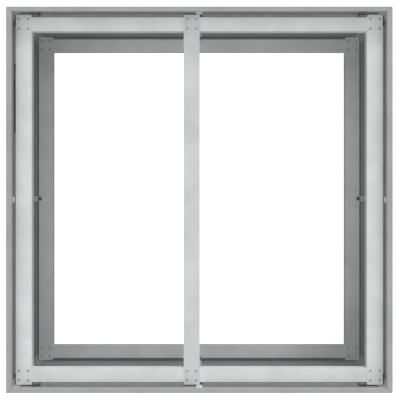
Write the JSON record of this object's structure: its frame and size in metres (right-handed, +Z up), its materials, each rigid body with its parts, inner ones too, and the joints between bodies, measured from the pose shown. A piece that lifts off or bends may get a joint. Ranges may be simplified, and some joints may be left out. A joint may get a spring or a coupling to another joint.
{
  "type": "cold frame",
  "caption": "Square open-bottomed metal cold frame: panelled walls under a slim rim, with a recessed, hinged, glazed sash and a slotted stay.",
  "frame": {"origin": "middle of the footprint, at the ground", "axes": "+Z up, +Y towards the hinged back, +X to the right seen from the front"},
  "size_m": [1, 1, 0.326],
  "materials": {
    "frame_bars": "satin mill finish",
    "wall_profiles": "matt grey anodised",
    "wall_panels": "satin grey sheet over an insulating core",
    "rivet_steel": "plain, slightly dull",
    "hinge_steel": "zinc plated",
    "seal_rubber": "matt",
    "pane_glass": "clear float glass"
  },
  "bodies": {
    "root": {"back_bottom_rail": "wall_profiles", "back_joiner": "frame_bars", "back_panel_left": "wall_panels", "back_panel_right": "wall_panels", "back_rim_cap": "wall_profiles", "base_bar_left": "frame_bars", "base_bar_right": "frame_bars", "base_rail_back": "frame_bars", "base_rail_front": "frame_bars", "base_rivets_back_left": "rivet_steel", "base_rivets_back_right": "rivet_steel", "base_rivets_front_left": "rivet_steel", "base_rivets_front_right": "rivet_steel", "front_bottom_rail": "wall_profiles", "front_buffer_left": "seal_rubber", "front_buffer_right": "seal_rubber", "front_joiner": "frame_bars", "front_panel_left": "wall_panels", "front_panel_right": "wall_panels", "front_rim_cap": "wall_profiles", "hinge_left_fixed_leaf": "hinge_steel", "hinge_left_pin": "hinge_steel", "hinge_right_fixed_leaf": "hinge_steel", "hinge_right_pin": "hinge_steel", "left_bottom_rail": "wall_profiles", "left_joiner": "frame_bars", "left_panel_left": "wall_panels", "left_panel_right": "wall_panels", "left_rim_cap": "wall_profiles", "post_back_left": "wall_profiles", "post_back_right": "wall_profiles", "post_front_left": "wall_profiles", "post_front_right": "wall_profiles", "right_bottom_rail": "wall_profiles", "right_joiner": "frame_bars", "right_panel_left": "wall_panels", "right_panel_right": "wall_panels", "right_rim_cap": "wall_profiles", "sash_ledge_left": "wall_profiles", "sash_ledge_right": "wall_profiles", "stay_pivot": "hinge_steel"},
    "sash": {"glazing_retainer": "frame_bars", "hinge_left_moving_leaf": "hinge_steel", "hinge_right_moving_leaf": "hinge_steel", "pane_left": "pane_glass", "pane_right": "pane_glass", "pane_seal_left": "seal_rubber", "pane_seal_right": "seal_rubber", "sash_bar_centre": "frame_bars", "sash_bar_left": "frame_bars", "sash_bar_right": "frame_bars", "sash_rail_back": "frame_bars", "sash_rail_front": "frame_bars", "sash_rivets_back_centre": "rivet_steel", "sash_rivets_back_left": "rivet_steel", "sash_rivets_back_right": "rivet_steel", "sash_rivets_front_centre": "rivet_steel", "sash_rivets_front_left": "rivet_steel", "sash_rivets_front_right": "rivet_steel"},
    "stay": {"stay_arm": "hinge_steel"}
  },
  "joints": [
    {"name": "sash_hinge", "type": "hinge", "parent": "root", "child": "sash", "pos_m": [0, 0.484, 0.299], "axis": [-1, 0, 0], "range_deg": [0, 60]},
    {"name": "stay_swing", "type": "hinge", "parent": "root", "child": "stay", "pos_m": [-0.484, 0.33437, 0.28854], "axis": [-1, 0, 0], "range_deg": [0, 120]}
  ],
  "couplings": [
    {"joint": "stay_swing", "follows": "sash_hinge", "ratio": 2}
  ]
}
